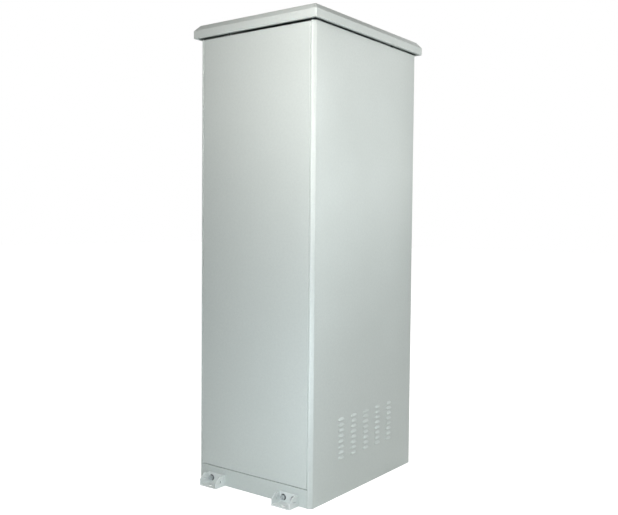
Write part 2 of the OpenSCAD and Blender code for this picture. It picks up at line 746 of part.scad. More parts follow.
// A leaf's plate between x0 and x1, with a tab up to each of its own knuckles.
module leaf_plate(x0, x1, knuckle_zs) {
    difference() {
        union() {
            box([x0, leaf_foot_y, -leaf_h / 2], [x1, leaf_brim_y, leaf_h / 2]);
            for (z = knuckle_zs)
                box([x0, leaf_foot_y, z], [x1, 0, z + knuckle_l - knuckle_gap]);
        }
        cylinder(h = 2 * leaf_h, r = pin_r + 1, center = true);
    }
}
module hinge_frame_leaves() {
    ends = [-1.5 * knuckle_l, 0.5 * knuckle_l + knuckle_gap];
    color(zinc) at_hinges() {
        leaf_plate(-hinge_gap / 2, -hinge_gap / 2 + leaf_t, ends);
        for (z = ends) knuckle(z, pin_r + press_gap);
    }
}
module hinge_door_leaves() {
    middle = -0.5 * knuckle_l + knuckle_gap / 2;
    color(zinc) at_hinges() {
        leaf_plate(hinge_gap / 2 - leaf_t, hinge_gap / 2, [middle]);
        knuckle(middle, pin_r + run_gap);
    }
}
pin_head_r = 4.5;
pin_head_h = 3;
module hinge_pins() {
    color(zinc) at_hinges() {
        translate([0, 0, -leaf_h / 2]) cylinder(h = leaf_h + knuckle_gap, r = pin_r);
        translate([0, 0, leaf_h / 2 + knuckle_gap / 2]) cylinder(h = pin_head_h, r = pin_head_r);
    }
}

// ---- lock and swing handle ----
plate_t = 4;
plate_w = 34;
plate_above = 30;                 // from the spindle's axis to the plate's top
plate_below = 14;                 // from the handle's end to the plate's bottom
plate_face = half_d + plate_t;
module handle_plate() {
    color(black_plastic) difference() {
        box([lock_x - plate_w / 2, half_d, lock_z - handle_l - plate_below],
            [lock_x + plate_w / 2, plate_face, lock_z + plate_above]);
        translate([lock_x, half_d, lock_z]) bore_y(spindle_hole_r, 4 * plate_t);
    }
}
housing_depth = jamb_depth + sheet_t;   // the cam and the rods work behind the landings
housing_size = [44, 70];
cam_t = 4;
cam_gap = 0.5;
cam_y = door_skin_y - housing_depth - cam_gap;          // the cam's face towards the housing
rod_y = cam_y - cam_t - cam_gap - rod_d / 2;
module lock_housing() {
    color(zinc) difference() {
        box([lock_x - housing_size[0] / 2, door_skin_y - housing_depth, lock_z - housing_size[1] / 2],
            [lock_x + housing_size[0] / 2, door_skin_y, lock_z + housing_size[1] / 2]);
        translate([lock_x, door_skin_y, lock_z]) bore_y(spindle_r + run_gap, 3 * housing_depth);
    }
}
head_r = 15;
head_t = 2;
head_gap = 0.4;
ear_gap = 0.2;                    // between the handle's tongue and each ear
ear_t = 5;
tongue_w = 16;
pivot_r = 3;
pivot_out = 9;                    // from the plate's face to the handle's pivot
pivot_y = plate_face + pivot_out;
ear_r = 5.5;
module lock_spindle() {
    foot = plate_face + head_gap;
    tail = cam_y - cam_t;
    color(zinc) translate([lock_x, 0, lock_z]) difference() {
        union() {
            translate([0, tail, 0]) rotate([-90, 0, 0]) cylinder(h = foot - tail + cut, r = spindle_r);
            translate([0, foot, 0]) rotate([-90, 0, 0]) cylinder(h = head_t, r = head_r);
            for (s = [-1, 1])
                translate([s * (tongue_w / 2 + ear_gap + ear_t / 2), 0, 0]) {
                    translate([0, pivot_y, 0]) bore_x(ear_r, ear_t);
                    translate([-ear_t / 2, foot, -ear_r]) cube([ear_t, pivot_y - foot, 2 * ear_r]);
                }
        }
        translate([0, pivot_y, 0]) bore_x(pivot_r + press_gap, 3 * head_r);
    }
}
module handle_pin() {
    color(zinc) translate([lock_x, pivot_y, lock_z]) bore_x(pivot_r, tongue_w + 2 * ear_gap + 2 * ear_t);
}
handle_gap = 0.6;                 // between the handle's back and the plate
handle_y0 = plate_face + handle_gap;
handle_y1 = handle_y0 + handle_t;
handle_end_z = lock_z - handle_l + handle_w / 2;
grip_gap = 4;                     // between the grip's top and the spindle's head
grip_top = lock_z - head_r - grip_gap;
boss_r = 6;                       // round the handle's pivot
tongue_t = 11;
key_up = 14;                      // from the handle's end to the key's axis
key_z = lock_z - handle_l + key_up;
key_r = 6;
key_floor = 2;                    // left of the handle behind the key plug's bore
key_back = 1;                     // free space behind the key plug
cover_up = 12;                    // from the key's axis to the cover's pivot
cover_pin_r = 1.5;
cover_pin_l = 6;
cover_pin_end = 2;                // free space behind the cover's pin
module swing_handle() {
    color(black_plastic) translate([lock_x, 0, 0]) difference() {
        union() {
            translate([0, pivot_y, lock_z]) bore_x(boss_r, tongue_w);
            box([-tongue_w / 2, pivot_y - tongue_t / 2, grip_top - cut],
                [tongue_w / 2, pivot_y + tongue_t / 2, lock_z]);
            box([-handle_w / 2, handle_y0, handle_end_z], [handle_w / 2, handle_y1, grip_top]);
            translate([0, handle_y0, handle_end_z]) rotate([-90, 0, 0]) cylinder(h = handle_t, d = handle_w);
        }
        translate([0, pivot_y, lock_z]) bore_x(pivot_r + run_gap, 3 * tongue_w);
        translate([0, handle_y1, key_z]) bore_y(key_r + run_gap, 2 * (handle_t - key_floor));
        translate([0, handle_y1, key_z + cover_up])
            bore_y(cover_pin_r + run_gap, 2 * (cover_pin_l + cover_pin_end));
    }
}
key_slot = [1.5, 6, 8];
module key_plug() {
    back = handle_y0 + key_floor + key_back;
    color(zinc) translate([lock_x, 0, key_z]) difference() {
        translate([0, back, 0]) rotate([-90, 0, 0]) cylinder(h = handle_y1 - back, r = key_r);
        translate([0, handle_y1, 0]) cube([key_slot[0], 2 * key_slot[1], key_slot[2]], center = true);
    }
}
cover_gap = 0.4;                  // between the cover and the handle's face
cover_t = 2;
cover_r = 8.5;
cover_arm_r = 3.5;
module keyhole_cover() {
    color(black_plastic) translate([lock_x, handle_y1 + cover_gap, key_z]) {
        rotate([-90, 0, 0]) cylinder(h = cover_t, r = cover_r);
        translate([-cover_arm_r, 0, 0]) cube([2 * cover_arm_r, cover_t, cover_up]);
        translate([0, 0, cover_up]) {
            rotate([-90, 0, 0]) cylinder(h = cover_t, r = cover_arm_r);
            translate([0, cut, 0]) rotate([90, 0, 0]) cylinder(h = cover_pin_l + cut, r = cover_pin_r);
        }
    }
}
stud_r = 4;
stud_at = cam_r * cos(45);        // the studs turn from 45 degrees below to 45 above the axis
stud_slack = 0.9;                 // above and below a stud in its slot
cam_rim = 3;
module lock_cam() {
    color(zinc) translate([lock_x, cam_y, lock_z]) difference() {
        union() {
            rotate([90, 0, 0]) cylinder(h = cam_t, r = cam_r + stud_r + cam_rim);
            for (s = [-1, 1])
                translate([s * stud_at, cut - cam_t, s * stud_at])
                    rotate([90, 0, 0]) cylinder(h = rod_d + cut, r = stud_r);
        }
        bore_y(spindle_r + press_gap, 3 * cam_t);
    }
}
yoke_wall = 4;
slot_x0 = stud_at - stud_r - stud_slack;
slot_x1 = cam_r + stud_r + stud_slack;
slot_h = 2 * (stud_r + stud_slack);
rod_x = (slot_x0 + slot_x1) / 2;
yoke_t = 6;
// A rod with its slotted yoke around a stud. s is -1 for the upper rod, 1 for the lower one.
module rod(s, tip_z) {
    yoke_z = lock_z + s * stud_at;
    root_z = yoke_z - s * (slot_h / 2 + cut);
    slot_w = slot_x1 - slot_x0;
    color(zinc) translate([lock_x + s * rod_x, rod_y, 0]) difference() {
        union() {
            translate([0, 0, yoke_z])
                cube([slot_w + 2 * yoke_wall, yoke_t, slot_h + 2 * yoke_wall], center = true);
            translate([0, 0, min(tip_z, root_z)]) cylinder(h = abs(tip_z - root_z), d = rod_d);
        }
        translate([0, 0, yoke_z]) cube([slot_w, 2 * rod_d, slot_h], center = true);
    }
}
rod_tip_gap = 6;                  // from a withdrawn rod's tip to the edge of the landing
module upper_rod() { rod(-1, head_z - rod_tip_gap); }
module lower_rod() { rod(1, sill_z + rod_tip_gap); }

guide_w = 20;
guide_h = 15;
guide_wall = 4;                   // behind the rod
guide_in = 120;                   // from the spindle's axis to a rod's inner guide
guide_end = 40;                   // from a withdrawn rod's tip to its outer guide
guide_zs_up = [lock_z + guide_in, head_z - rod_tip_gap - guide_end];
guide_zs_down = [lock_z - guide_in, sill_z + rod_tip_gap + guide_end];
module guide(x, z) {
    translate([x, 0, z]) difference() {
        box([-guide_w / 2, rod_y - rod_d / 2 - guide_wall, -guide_h / 2],
            [guide_w / 2, door_skin_y, guide_h / 2]);
        translate([0, rod_y, 0]) cylinder(h = 2 * guide_h, r = rod_d / 2 + run_gap, center = true);
    }
}
module rod_guides() {
    color(black_plastic) {
        for (z = guide_zs_up) guide(lock_x - rod_x, z);
        for (z = guide_zs_down) guide(lock_x + rod_x, z);
    }
}

left_side_panel();
right_side_panel();
rear_plinth();
front_plinth();
base_plate();
top_plate();
rear_panel();
rear_panel_gasket();
rear_panel_screws();
rear_panel_nuts();
roof_hood();
roof_posts();
roof_bolts();
rear_left_bracket();
rear_right_bracket();
front_left_bracket();
front_right_bracket();
bracket_bolts();
bracket_washers();
bracket_nuts();
front_left_rack_rail();
front_right_rack_rail();
rear_left_rack_rail();
rear_right_rack_rail();
upper_left_depth_rail();
upper_right_depth_rail();
lower_left_depth_rail();
lower_right_depth_rail();
rail_bolts();
gland_plate();
cable_glands();
gland_locknuts();
earth_bar();
earth_bar_posts();
earth_bar_screws();
left_filter_frame();
right_filter_frame();
left_filter_mat();
right_filter_mat();
fan_frame();
fan_rotor();
fan_guard();
front_door();
door_gasket();
door_stiffeners();
hinge_frame_leaves();
hinge_door_leaves();
hinge_pins();
handle_plate();
lock_spindle();
swing_handle();
handle_pin();
key_plug();
keyhole_cover();
lock_housing();
lock_cam();
upper_rod();
lower_rod();
rod_guides();
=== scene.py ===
import json
import math

import bmesh
import bpy
from mathutils import Matrix, Vector, noise


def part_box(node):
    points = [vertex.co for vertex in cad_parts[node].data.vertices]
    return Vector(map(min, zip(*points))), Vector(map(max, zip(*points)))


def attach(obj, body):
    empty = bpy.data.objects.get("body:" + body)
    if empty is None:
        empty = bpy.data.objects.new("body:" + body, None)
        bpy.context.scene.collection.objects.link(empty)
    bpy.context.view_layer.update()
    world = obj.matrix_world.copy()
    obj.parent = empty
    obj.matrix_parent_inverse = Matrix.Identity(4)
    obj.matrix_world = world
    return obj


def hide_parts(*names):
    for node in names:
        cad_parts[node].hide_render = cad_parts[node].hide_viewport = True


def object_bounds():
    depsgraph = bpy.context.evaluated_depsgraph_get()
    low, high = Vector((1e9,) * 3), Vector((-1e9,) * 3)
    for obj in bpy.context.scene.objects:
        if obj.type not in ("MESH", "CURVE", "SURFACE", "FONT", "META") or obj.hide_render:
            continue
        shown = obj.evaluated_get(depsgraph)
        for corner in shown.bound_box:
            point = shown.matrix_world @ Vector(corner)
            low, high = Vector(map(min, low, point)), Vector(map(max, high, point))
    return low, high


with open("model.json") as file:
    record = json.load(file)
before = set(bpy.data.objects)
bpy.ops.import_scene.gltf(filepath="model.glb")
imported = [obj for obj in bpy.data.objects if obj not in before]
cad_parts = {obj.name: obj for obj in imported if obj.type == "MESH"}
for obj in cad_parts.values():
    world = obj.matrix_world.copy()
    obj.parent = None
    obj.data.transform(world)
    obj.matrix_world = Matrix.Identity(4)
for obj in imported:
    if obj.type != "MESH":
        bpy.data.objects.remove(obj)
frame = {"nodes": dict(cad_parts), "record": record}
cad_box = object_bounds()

mm = 0.001
scene = bpy.context.scene
body_of = {node: body for body, nodes in frame["record"]["behaviour"]["bodies"].items() for node in nodes}
slot_of = {part["node"]: part["material_slot"] for part in frame["record"]["subparts"]}


# ---- shader nodes and materials ----


def linear(colour):
    """An sRGB hex colour as linear RGBA."""
    channels = [int(colour[i : i + 2], 16) / 255 for i in (1, 3, 5)]
    return [c / 12.92 if c <= 0.04045 else ((c + 0.055) / 1.055) ** 2.4 for c in channels] + [1]


def add(tree, kind, inputs=None, **settings):
    """Adds a node with its settings; an input is a value, or the socket that feeds it."""
    node = tree.nodes.new("ShaderNode" + kind)
    for name, value in settings.items():
        setattr(node, name, value)
    for name, value in (inputs or {}).items():
        if isinstance(value, bpy.types.NodeSocket):
            tree.links.new(value, node.inputs[name])
        else:
            node.inputs[name].default_value = value
    return node


def new_material(name):
    """An empty material with its tree and the object coordinates in metres."""
    material = bpy.data.materials.new(name)
    material.use_nodes = True
    tree = material.node_tree
    tree.nodes.clear()
    return material, tree, add(tree, "TexCoord").outputs["Object"]


def finish_material(tree, colour, roughness, bump=None, **shader):
    """Ends a material with its surface shader; other shader inputs are given by name, with _ for a space."""
    inputs = {"Base Color": colour, "Roughness": roughness}
    if bump is not None:
        inputs["Normal"] = bump
    inputs.update({name.replace("_", " "): value for name, value in shader.items()})
    surface = add(tree, "BsdfPrincipled", inputs)
    add(tree, "OutputMaterial", {"Surface": surface.outputs["BSDF"]})


def per_metre(size_mm):
    """The texture scale whose features are about size_mm across."""
    return 1 / (size_mm * mm)


def spread(tree, value, low, high):
    """Maps the middle of a noise value, 0.3 to 0.7, to low and high."""
    limits = {"From Min": 0.3, "From Max": 0.7, "To Min": low, "To Max": high}
    return add(tree, "MapRange", {"Value": value, **limits}).outputs["Result"]


def blend_colours(tree, factor, first, second):
    """Mixes two colours, each a hex value or the socket that gives it."""
    mixed = add(tree, "Mix", {0: factor}, data_type="RGBA")
    for socket, colour in ((mixed.inputs[6], first), (mixed.inputs[7], second)):
        if isinstance(colour, bpy.types.NodeSocket):
            tree.links.new(colour, socket)
        else:
            socket.default_value = linear(colour)
    return mixed.outputs[2]


def powder_coat(name, pale, paler, cloudy):
    """Light grey polyester powder coat, baked to a fine, low-gloss leather texture."""
    material, tree, place = new_material(name)
    # The coat's grain is about 0.6 mm; its tone is drawn at 10 mm so that it shows from across the road.
    grain = add(tree, "TexNoise", {"Vector": place, "Scale": per_metre(10), "Detail": 4, "Roughness": 0.75})
    cloud = add(tree, "TexNoise", {"Vector": place, "Scale": per_metre(260), "Detail": 3, "Roughness": 0.5})
    texture = add(tree, "TexNoise", {"Vector": place, "Scale": per_metre(1.2), "Detail": 2, "Roughness": 0.6})
    tone = blend_colours(tree, spread(tree, grain.outputs["Fac"], 0, 1), pale, paler)
    tone = blend_colours(tree, spread(tree, cloud.outputs["Fac"], 0, 0.35), tone, cloudy)
    relief = add(tree, "Bump", {"Height": texture.outputs["Fac"], "Strength": 0.12, "Distance": 0.05 * mm})
    finish_material(tree, tone, spread(tree, cloud.outputs["Fac"], 0.42, 0.48), relief.outputs["Normal"],
                    IOR=1.5, Metallic=0.25)
    return material


def galvanised_sheet():
    """Hot-dip galvanised sheet: dull zinc with a spangle of frosted crystals about 9 mm across."""
    material, tree, place = new_material("galvanised_steel_sheet")
    spangle = add(tree, "TexVoronoi", {"Vector": place, "Scale": per_metre(9), "Randomness": 1.0})
    haze = add(tree, "TexNoise", {"Vector": place, "Scale": per_metre(40), "Detail": 4, "Roughness": 0.6})
    frost = add(tree, "SeparateColor", {"Color": spangle.outputs["Color"]}).outputs["Red"]
    tone = blend_colours(tree, frost, "#A9AEB1", "#BDC2C4")
    tone = blend_colours(tree, spread(tree, haze.outputs["Fac"], 0, 0.5), tone, "#B3B6B6")
    dull = add(tree, "MapRange", {"Value": frost, "To Min": 0.36, "To Max": 0.52}).outputs["Result"]
    relief = add(tree, "Bump", {"Height": frost, "Strength": 0.08, "Distance": 0.05 * mm})
    finish_material(tree, tone, dull, relief.outputs["Normal"], Metallic=1.0)
    return material


def bright_zinc():
    """Bright zinc-plated fasteners and castings: a clean bluish metal, slightly hazed."""
    material, tree, place = new_material("bright_zinc_plate")
    haze = add(tree, "TexNoise", {"Vector": place, "Scale": per_metre(6), "Detail": 4, "Roughness": 0.65})
    tone = blend_colours(tree, spread(tree, haze.outputs["Fac"], 0, 1), "#C4C8CB", "#D3D6D8")
    finish_material(tree, tone, spread(tree, haze.outputs["Fac"], 0.24, 0.36), Metallic=1.0)
    return material


def foam_rubber():
    """Black EPDM foam rubber: matt, with cells of about half a millimetre in its skin."""
    material, tree, place = new_material("epdm_foam_rubber")
    cells = add(tree, "TexVoronoi", {"Vector": place, "Scale": per_metre(1.5), "Randomness": 1.0})
    dust = add(tree, "TexNoise", {"Vector": place, "Scale": per_metre(20), "Detail": 4, "Roughness": 0.6})
    tone = blend_colours(tree, spread(tree, dust.outputs["Fac"], 0, 1), "#1B1C1C", "#2A2B2B")
    relief = add(tree, "Bump", {"Height": cells.outputs["Distance"], "Strength": 0.4, "Distance": 0.3 * mm})
    finish_material(tree, tone, 0.85, relief.outputs["Normal"], IOR=1.52)
    return material


def black_polyamide():
    """Glass-filled black polyamide, moulded against a spark-eroded tool: fine even matt grain."""
    material, tree, place = new_material("glass_filled_polyamide")
    grain = add(tree, "TexNoise", {"Vector": place, "Scale": per_metre(0.8), "Detail": 2, "Roughness": 0.5})
    flow = add(tree, "TexNoise", {"Vector": place, "Scale": per_metre(30), "Detail": 3, "Roughness": 0.5})
    tone = blend_colours(tree, spread(tree, flow.outputs["Fac"], 0, 1), "#222324", "#2B2C2D")
    relief = add(tree, "Bump", {"Height": grain.outputs["Fac"], "Strength": 0.3, "Distance": 0.08 * mm})
    finish_material(tree, tone, spread(tree, flow.outputs["Fac"], 0.44, 0.54), relief.outputs["Normal"],
                    IOR=1.53)
    return material


def drawn_copper():
    """Drawn copper bar: warm metal with fine lines along its length and a first brown bloom."""
    material, tree, place = new_material("drawn_copper")
    along = add(tree, "Mapping", {"Vector": place, "Scale": (1, 60, 60)}).outputs["Vector"]
    lines = add(tree, "TexNoise", {"Vector": along, "Scale": per_metre(40), "Detail": 3, "Roughness": 0.6})
    bloom = add(tree, "TexNoise", {"Vector": place, "Scale": per_metre(25), "Detail": 4, "Roughness": 0.6})
    tone = blend_colours(tree, spread(tree, bloom.outputs["Fac"], 0, 1), "#C87A53", "#B26A48")
    relief = add(tree, "Bump", {"Height": lines.outputs["Fac"], "Strength": 0.1, "Distance": 0.05 * mm})
    finish_material(tree, tone, spread(tree, lines.outputs["Fac"], 0.26, 0.4), relief.outputs["Normal"],
                    Metallic=1.0)
    return material


def red_polyester():
    """Red moulded polyester resin of a stand-off insulator: glossy, with glass fibre just showing."""
    material, tree, place = new_material("red_polyester_resin")
    fibre = add(tree, "TexNoise", {"Vector": place, "Scale": per_metre(3), "Detail": 4, "Roughness": 0.6})
    tone = blend_colours(tree, spread(tree, fibre.outputs["Fac"], 0, 1), "#8E221B", "#9C2A21")
    finish_material(tree, tone, spread(tree, fibre.outputs["Fac"], 0.22, 0.34), IOR=1.55)
    return material


def filter_fleece():
    """Grey polyester filter fleece: a matt mat of loose fibres, drawn a darker grey than a clean mat to paint
    shade behind the louvre openings.
    """
    material, tree, place = new_material("filter_fleece")
    fibre = add(tree, "TexNoise", {"Vector": place, "Scale": per_metre(2), "Detail": 6, "Roughness": 0.7,
                                   "Distortion": 1.5})
    clump = add(tree, "TexNoise", {"Vector": place, "Scale": per_metre(18), "Detail": 3, "Roughness": 0.6})
    # The mid grey is partly the mat's own colour and partly painted shade behind the louvres.
    tone = blend_colours(tree, spread(tree, fibre.outputs["Fac"], 0, 1), "#7E807D", "#9C9E9A")
    tone = blend_colours(tree, spread(tree, clump.outputs["Fac"], 0, 0.5), tone, "#8A8C88")
    relief = add(tree, "Bump", {"Height": fibre.outputs["Fac"], "Strength": 0.8, "Distance": 1.0 * mm})
    finish_material(tree, tone, 0.95, relief.outputs["Normal"], IOR=1.5, Sheen_Weight=0.3, Sheen_Roughness=0.5)
    return material


finish = {
    "powder_coat": powder_coat("powder_coated_steel", "#C2CAC7", "#CAD2CE", "#C1C9C5"),
    "galvanised_steel": galvanised_sheet(),
    "zinc_fasteners": bright_zinc(),
    "gasket_rubber": foam_rubber(),
    "black_plastic": black_polyamide(),
    "copper_bar": drawn_copper(),
    "red_insulator": red_polyester(),
    "filter_fleece": filter_fleece(),
}

# The brackets take a lighter copy of the body's coat: painted light, standing in for how brightly they are lit.
bracket_lit_coat = powder_coat("powder_coated_bracket_painted_light", "#DCE2E0", "#E3E8E6", "#D9DFDD")


# ---- pieces from the CAD nodes, with their real edge radii ----

sharp = math.radians(28)          # a fold or corner at least this steep is a real edge
flat = math.radians(0.5)          # faces that meet at less than this are one face
shortest_edge = 1 * mm            # shorter edges are facets of small arcs and stay as they are
hollow_faced = ("keyhole_cover", "lock_spindle")  # their faces bend inwards round a small arc


def merged(node):
    """A copy of a CAD node's mesh with its triangles joined into whole faces."""
    mesh = bmesh.new()
    mesh.from_mesh(frame["nodes"][node].data)
    bmesh.ops.remove_doubles(mesh, verts=mesh.verts, dist=0.005 * mm)
    bmesh.ops.dissolve_limit(mesh, verts=mesh.verts, edges=mesh.edges, angle_limit=flat)
    if node in hollow_faced:
        bmesh.ops.connect_verts_concave(mesh, faces=mesh.faces)
    return mesh


def room(edge):
    """How far the narrower of an edge's two faces runs away from it."""
    start = edge.verts[0].co
    along = (edge.verts[1].co - start).normalized()
    reach = []
    for face in edge.link_faces:
        offsets = [v.co - start for v in face.verts]
        reach.append(max((o - along * o.dot(along)).length for o in offsets))
    return min(reach)


def piece(name, mesh, body, slot, *nodes):
    """Makes a mesh into a piece with a body to ride on, its slot's finish and the CAD nodes it replaces."""
    data = bpy.data.meshes.new(name)
    mesh.to_mesh(data)
    mesh.free()
    data.materials.append(finish[slot])
    made = bpy.data.objects.new(name, data)
    scene.collection.objects.link(made)
    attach(made, body)
    if nodes:
        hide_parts(*nodes)
    return made


def round_edges(mesh, radius):
    """Marks the edges for a bevel: convex ones with the full radius, concave ones with a third of it.

    Where the faces beside an edge are narrow, the radius is at most a quarter of their width.
    """
    weight = mesh.edges.layers.float.new("bevel_weight_edge")
    for edge in mesh.edges:
        if len(edge.link_faces) != 2 or edge.calc_face_angle(0) < sharp or edge.calc_length() < shortest_edge:
            continue
        wanted = radius if edge.is_convex else radius / 3
        edge[weight] = min(wanted, room(edge) / 4) / radius


def smooth_faces(mesh):
    """Shades the faces smoothly except across real edges."""
    for face in mesh.faces:
        face.smooth = True
    for edge in mesh.edges:
        edge.smooth = len(edge.link_faces) == 2 and edge.calc_face_angle(0) < sharp


def bevelled(made, radius):
    """Rounds the marked edges in three steps."""
    bevel = made.modifiers.new("edge_radius", "BEVEL")
    bevel.width = radius
    bevel.segments = 3
    bevel.limit_method = "WEIGHT"
    bevel.use_clamp_overlap = False
    bevel.harden_normals = True
    bevel.loop_slide = False


def finished(node, radius):
    """Replaces a CAD node by a copy with rounded edges."""
    mesh = merged(node)
    round_edges(mesh, radius)
    smooth_faces(mesh)
    made = piece("finished_" + node, mesh, body_of[node], slot_of[node], node)
    bevelled(made, radius)
    return made


# ---- side walls: one folded sheet each, with pressed louvres ----

louvre_columns, louvre_rows = 5, 8
louvre_pitch_y, louvre_pitch_z, louvre_z = 93 * mm, 22.5 * mm, 158.5 * mm
louvre_length, louvre_height, louvre_out = 45 * mm, 11 * mm, 5 * mm
louvre_end = 14 * mm              # length of each rounded end along the open edge
crease = 1.2 * mm                 # width of the soft crease round a louvre
sheet = 2 * mm
corner_leg = 13 * mm              # how far the chamfer runs along each of the walls it joins
bend = 1.8 * mm
facing_out = 0.99                 # least x part of the normal of a face on the wall's outer side
louvre_steps = (6, 5)             # divisions round each end and up the slope


def louvre_rise(v):
    """How far a louvre stands out at v, from its open lower edge at 0 to its root at 1."""
    return louvre_out * (1 - v) ** 0.85


def louvre_grid(mesh, y, z):
    """Adds one pressed louvre: a grid laid over its outline, raised along the slope and round its ends."""
    around, rows = louvre_steps
    straight = louvre_length - 2 * louvre_end
    columns = 2 * around + 3
    made = bmesh.ops.create_grid(mesh, x_segments=columns, y_segments=rows, size=0.5)["verts"]
    for vert in made:
        column = round((vert.co.x + 0.5) * columns)
        v = vert.co.y + 0.5
        rise = louvre_rise(v)
        side = -1 if column <= around + 1 else 1
        step = column if side < 0 else columns - column
        if step == 0:
            vert.co = (0, y + side * louvre_length / 2, z + v * louvre_height)
        else:
            angle = (step - 1) / around * math.pi / 2
            reach = straight / 2 + louvre_end * math.sqrt(max(rise, 0) / louvre_out) * math.cos(angle)
            vert.co = (rise * math.sin(angle), y + side * reach, z + v * louvre_height)
    return made


def side_wall():
    """The right wall about x = 0, its outer face on the plane x = 0 and its normals pointing to +X."""
    wall_low, wall_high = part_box("right_side_panel")
    plinth_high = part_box("rear_plinth")[1]
    face_x = wall_high.x - louvre_out
    landing = wall_low.x - face_x
    opening = plinth_high.x - face_x
    front, back = wall_high.y, -plinth_high.y
    line = [(landing, back), (opening, back), (opening, front), (-corner_leg, front), (0, front - corner_leg)]
    line += [(x, -y) for x, y in reversed(line)]
    mesh = bmesh.new()
    verts = [mesh.verts.new((x, y, wall_low.z)) for x, y in line]
    for one, other in zip(verts, verts[1:]):
        mesh.edges.new((one, other))
    bmesh.ops.bevel(mesh, geom=verts[1:-1], affect="VERTICES", offset=bend * 0.8, segments=4, profile=0.5,
                    material=-1)
    run = bmesh.ops.extrude_edge_only(mesh, edges=list(mesh.edges))["geom"]
    lifted = [v for v in run if isinstance(v, bmesh.types.BMVert)]
    bmesh.ops.translate(mesh, verts=lifted, vec=(0, 0, wall_high.z - wall_low.z))
    bmesh.ops.recalc_face_normals(mesh, faces=list(mesh.faces))
    widest = max(mesh.faces, key=lambda f: f.calc_area())
    if widest.normal.x < 0:
        bmesh.ops.reverse_faces(mesh, faces=list(mesh.faces))
    half = louvre_length / 2
    straight = half - louvre_end
    ys = [(i - (louvre_columns - 1) / 2) * louvre_pitch_y for i in range(louvre_columns)]
    zs = [louvre_z + i * louvre_pitch_z - louvre_height / 2 for i in range(louvre_rows)]
    steps = louvre_steps[1]
    upright = [y + d for y in ys for d in (-half - crease, -half, -straight, straight, half, half + crease)]
    level = [z + louvre_height * i / steps for z in zs for i in range(steps + 1)]
    level += [z + d for z in zs for d in (-crease, louvre_height + crease)]
    cuts = [((0, y, 0), (0, 1, 0)) for y in upright] + [((0, 0, z), (0, 0, 1)) for z in level]
    for point, normal in cuts:
        wall = [f for f in mesh.faces if f.normal.x > facing_out]
        around = {e for f in wall for e in f.edges} | {v for f in wall for v in f.verts}
        bmesh.ops.bisect_plane(mesh, geom=wall + list(around), plane_co=point, plane_no=normal, dist=1e-7)
    pressed = []
    for face in mesh.faces:
        spot = face.calc_center_median()
        in_column = any(abs(spot.y - y) < half for y in ys)
        in_row = any(0 < spot.z - z < louvre_height for z in zs)
        if face.normal.x > facing_out and in_column and in_row:
            pressed.append(face)
    bmesh.ops.delete(mesh, geom=pressed, context="FACES")
    for y in ys:
        for z in zs:
            made = louvre_grid(mesh, y, z)
            faces = {f for v in made for f in v.link_faces}
            if sum(f.normal.x for f in faces) < 0:
                bmesh.ops.reverse_faces(mesh, faces=list(faces))
    bmesh.ops.remove_doubles(mesh, verts=mesh.verts, dist=0.01 * mm)
    bmesh.ops.dissolve_degenerate(mesh, edges=mesh.edges, dist=0.001 * mm)
    bmesh.ops.translate(mesh, verts=mesh.verts, vec=(face_x, 0, 0))
    return mesh


def thickened(made):
    """Gives a wall its sheet thickness, inwards from its outer face."""
    wall = made.modifiers.new("sheet", "SOLIDIFY")
    wall.thickness = sheet
    wall.offset = -1
    wall.use_even_offset = False


for side, node in ((1, "right_side_panel"), (-1, "left_side_panel")):
    mesh = side_wall()
    if side < 0:
        bmesh.ops.scale(mesh, vec=(-1, 1, 1), verts=mesh.verts)
        bmesh.ops.reverse_faces(mesh, faces=list(mesh.faces))
    smooth_faces(mesh)
    thickened(piece("folded_" + node, mesh, "cabinet", "powder_coat", node))

brackets = ("rear_left_bracket", "rear_right_bracket", "front_left_bracket", "front_right_bracket")

# radii in mm: folded sheet, castings and turned parts each have their own
for radius, nodes in (
    (2.4, ("rear_panel", "front_door", "roof_hood")),
    (1.9, ("rear_plinth", "front_plinth")),
    (2.0, ("lock_housing", "fan_frame")),
    (1.5, ("swing_handle", *brackets, "top_plate", "base_plate", "door_stiffeners", "upper_left_depth_rail",
           "upper_right_depth_rail", "lower_left_depth_rail", "lower_right_depth_rail")),
    (1.0, ("door_gasket", "rear_panel_gasket", "left_filter_frame", "right_filter_frame", "handle_plate",
           "upper_rod", "lower_rod", "rod_guides", "earth_bar", "lock_cam")),
    (0.8, ("bracket_nuts", "roof_bolts", "rail_bolts", "roof_posts", "hinge_frame_leaves",
           "hinge_door_leaves", "hinge_pins", "cable_glands", "gland_locknuts", "earth_bar_posts",
           "earth_bar_screws", "keyhole_cover", "key_plug", "gland_plate", "fan_rotor")),
    (0.5, ("handle_pin", "lock_spindle", "rear_panel_screws", "rear_panel_nuts")),
):
    for node in nodes:
        made = finished(node, radius * mm)
        if node in brackets:
            # the lighter copy of the coat paints the light on the brackets
            made.data.materials[0] = bracket_lit_coat


# ---- bracket bolts: pressed hexagon heads on a dark rubber ring of painted shade and a plain washer ----

bolt_across, bolt_head, bolt_shank = 19 * mm, 7.5 * mm, 12 * mm
thread_length, thread_pitch, thread_depth = 14 * mm, 1.75 * mm, 0.9 * mm
washer_thick, washer_across, washer_clearance = 1.3 * mm, 26 * mm, 0.5 * mm
# The dark rubber ring under each head is painted shade: it stands in for the shade round the head.
shade_ring_thick, shade_ring_across, shade_ring_clearance = 1.2 * mm, 24.5 * mm, 0.3 * mm


def solids(node):
    """The lowest and highest corners of each separate solid in a CAD node."""
    mesh = merged(node)
    left, found = set(mesh.verts), []
    while left:
        reached = [left.pop()]
        for vert in reached:
            near = {edge.other_vert(vert) for edge in vert.link_edges} & left
            left -= near
            reached += near
        found.append([Vector([pick(v.co[i] for v in reached) for i in range(3)]) for pick in (min, max)])
    mesh.free()
    return sorted(found, key=lambda corners: tuple(corners[0]))


